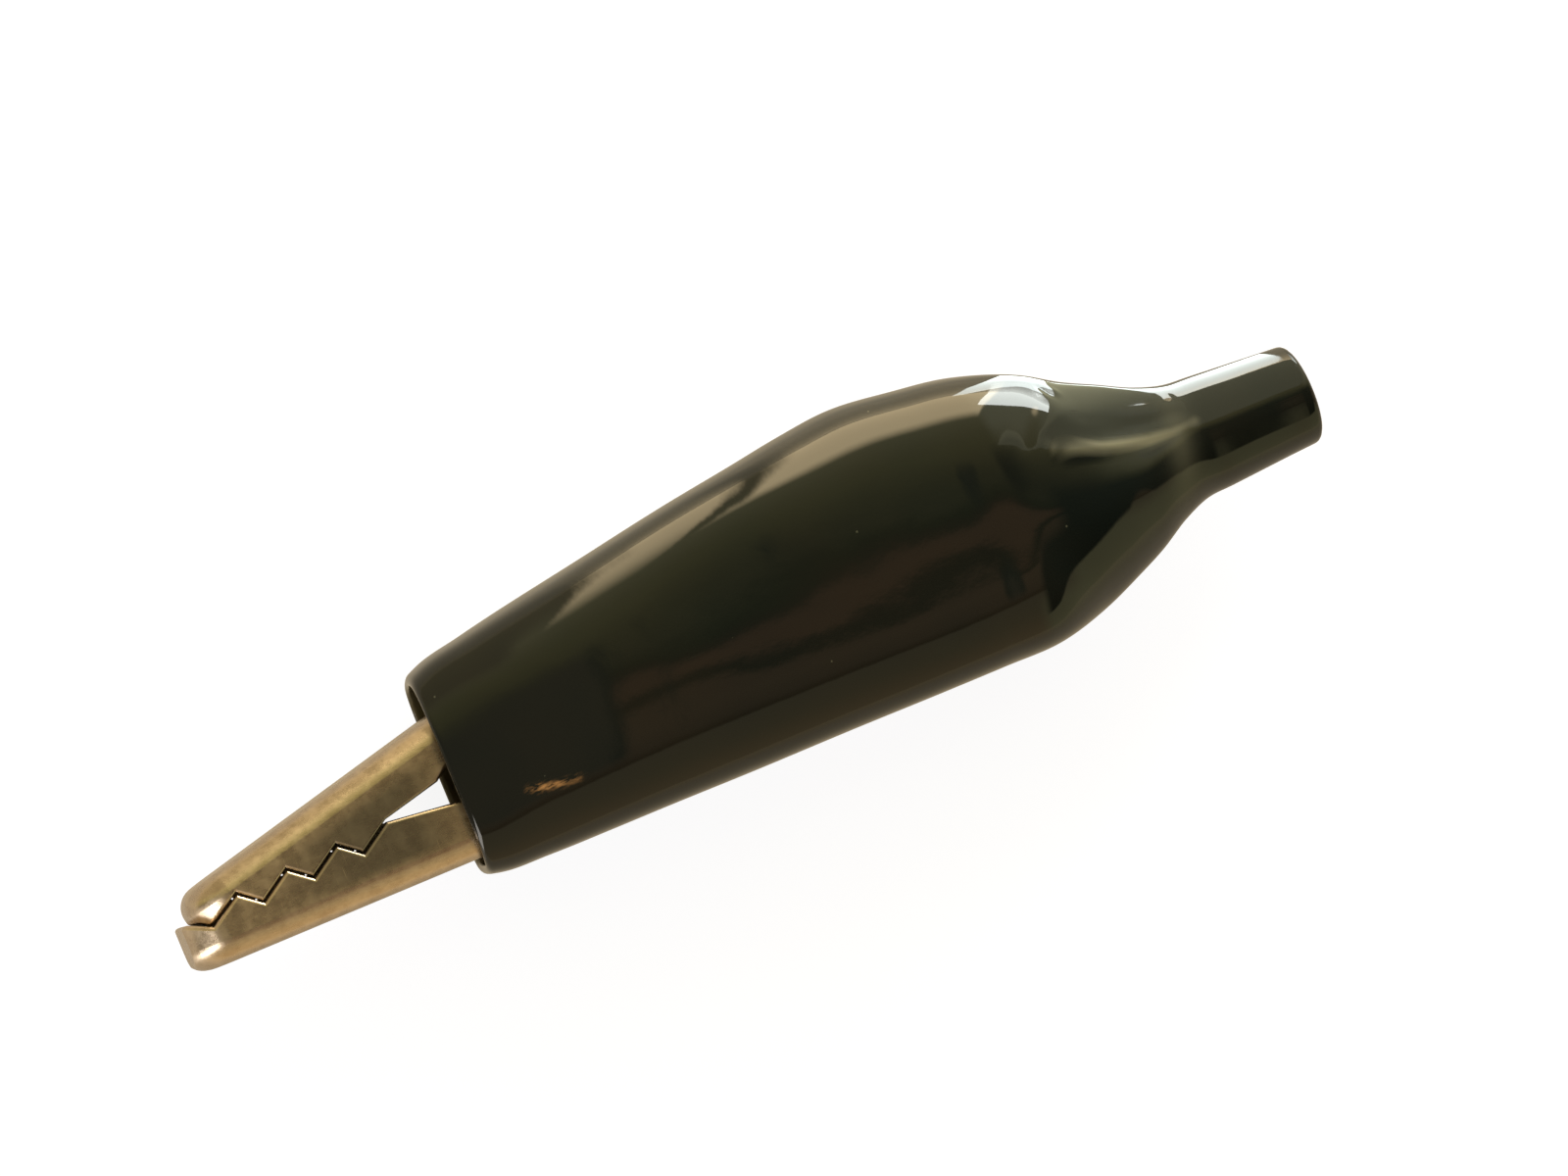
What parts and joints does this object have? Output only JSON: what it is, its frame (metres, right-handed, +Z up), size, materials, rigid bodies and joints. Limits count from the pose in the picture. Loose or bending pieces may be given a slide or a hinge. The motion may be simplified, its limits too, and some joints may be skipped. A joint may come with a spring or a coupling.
{
  "type": "alligator clip",
  "caption": "Small sprung alligator clip: two stamped steel jaws with saw teeth on a rivet, in a black vinyl boot with a tail for a test lead.",
  "frame": {"origin": "centre of the clip's outline seen from its side, on the surface that the boot's flat side rests on", "axes": "+X from the jaw tips to the boot's tail, +Y from the lower jaw to the upper jaw and its squeeze lever, +Z up, along the rivet"},
  "size_m": [0.0502, 0.012, 0.0084],
  "materials": {
    "black_vinyl": "glossy dipped vinyl, soft",
    "nickel_plate": "bright nickel plate over stamped steel, warm, faintly brushed",
    "rivet_steel": "nickel-plated, rolled rim",
    "spring_steel": "drawn spring wire",
    "screw_steel": "zinc-plated, turned"
  },
  "bodies": {
    "lower_body": {"lower_jaw": "nickel_plate", "pivot_rivet": "rivet_steel", "torsion_spring": "spring_steel", "boot": "black_vinyl"},
    "upper_body": {"upper_jaw": "nickel_plate"},
    "screw_body": {"terminal_screw": "screw_steel"}
  },
  "joints": [
    {"name": "jaw_open", "type": "hinge", "parent": "lower_body", "child": "upper_body", "pos_m": [-0.00555, -0.00115, 0.0042], "axis": [0, 0, -1], "range_deg": [0, 24], "stiffness_Nm_per_rad": 0.2, "deforming": ["torsion_spring", "boot"]},
    {"name": "screw_travel", "type": "slide", "parent": "lower_body", "child": "screw_body", "axis": [0, 1, 0], "range_m": [0, 0.001]}
  ]
}
